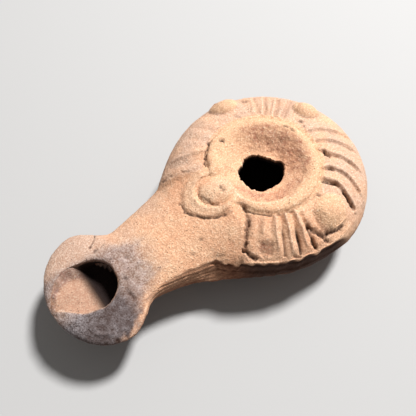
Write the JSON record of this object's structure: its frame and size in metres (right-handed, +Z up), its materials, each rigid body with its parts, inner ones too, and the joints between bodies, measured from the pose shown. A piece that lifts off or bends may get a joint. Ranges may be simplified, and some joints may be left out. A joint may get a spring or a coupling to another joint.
{
  "type": "oil lamp",
  "caption": "Mould-made pottery oil lamp: round ribbed body with a dished, pierced disc, and a neck ending in a broad nozzle with a tapering wick hole.",
  "frame": {"origin": "centre of the flat underside the lamp stands on", "axes": "+Z up, +X from the base towards the nozzle's tip"},
  "size_m": [0.1028, 0.0606, 0.0271],
  "materials": {
    "fired_clay": "matt unglazed fired clay, orange-tan, sooted grey at the nozzle"
  },
  "bodies": {
    "root": {"lamp": "fired_clay"}
  },
  "joints": []
}
